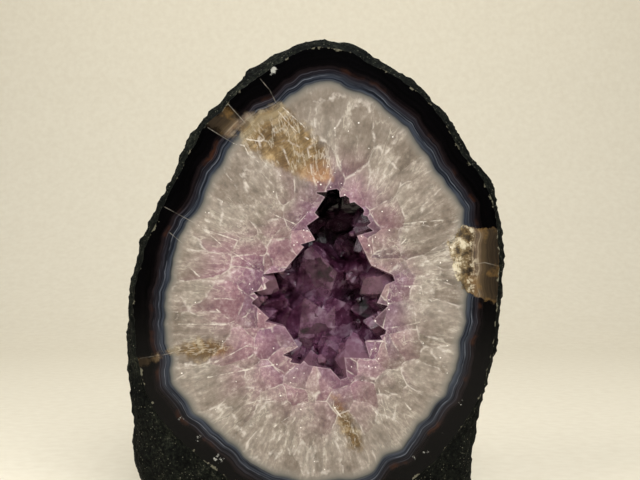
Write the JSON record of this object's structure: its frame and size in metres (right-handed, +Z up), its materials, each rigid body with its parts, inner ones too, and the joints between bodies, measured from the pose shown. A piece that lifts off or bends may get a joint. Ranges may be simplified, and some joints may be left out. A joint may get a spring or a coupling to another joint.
{
  "type": "amethyst geode half",
  "caption": "Half of a natural geode standing on a sawn foot: rough dark outside, polished cut face of banded agate and quartz, and a hollow lined with amethyst crystals.",
  "frame": {"origin": "on the floor under the middle of the part's box, at the sawn foot", "axes": "+Z up, +Y from the polished cut face towards the rough back, +X to the right as seen facing the cut"},
  "size_m": [0.183, 0.078, 0.2293],
  "materials": {
    "stone": "polished on the cut face, rough outside",
    "amethyst": "natural crystal faces"
  },
  "bodies": {
    "root": {"geode_shell": "stone", "amethyst_crust": "amethyst"}
  },
  "joints": []
}
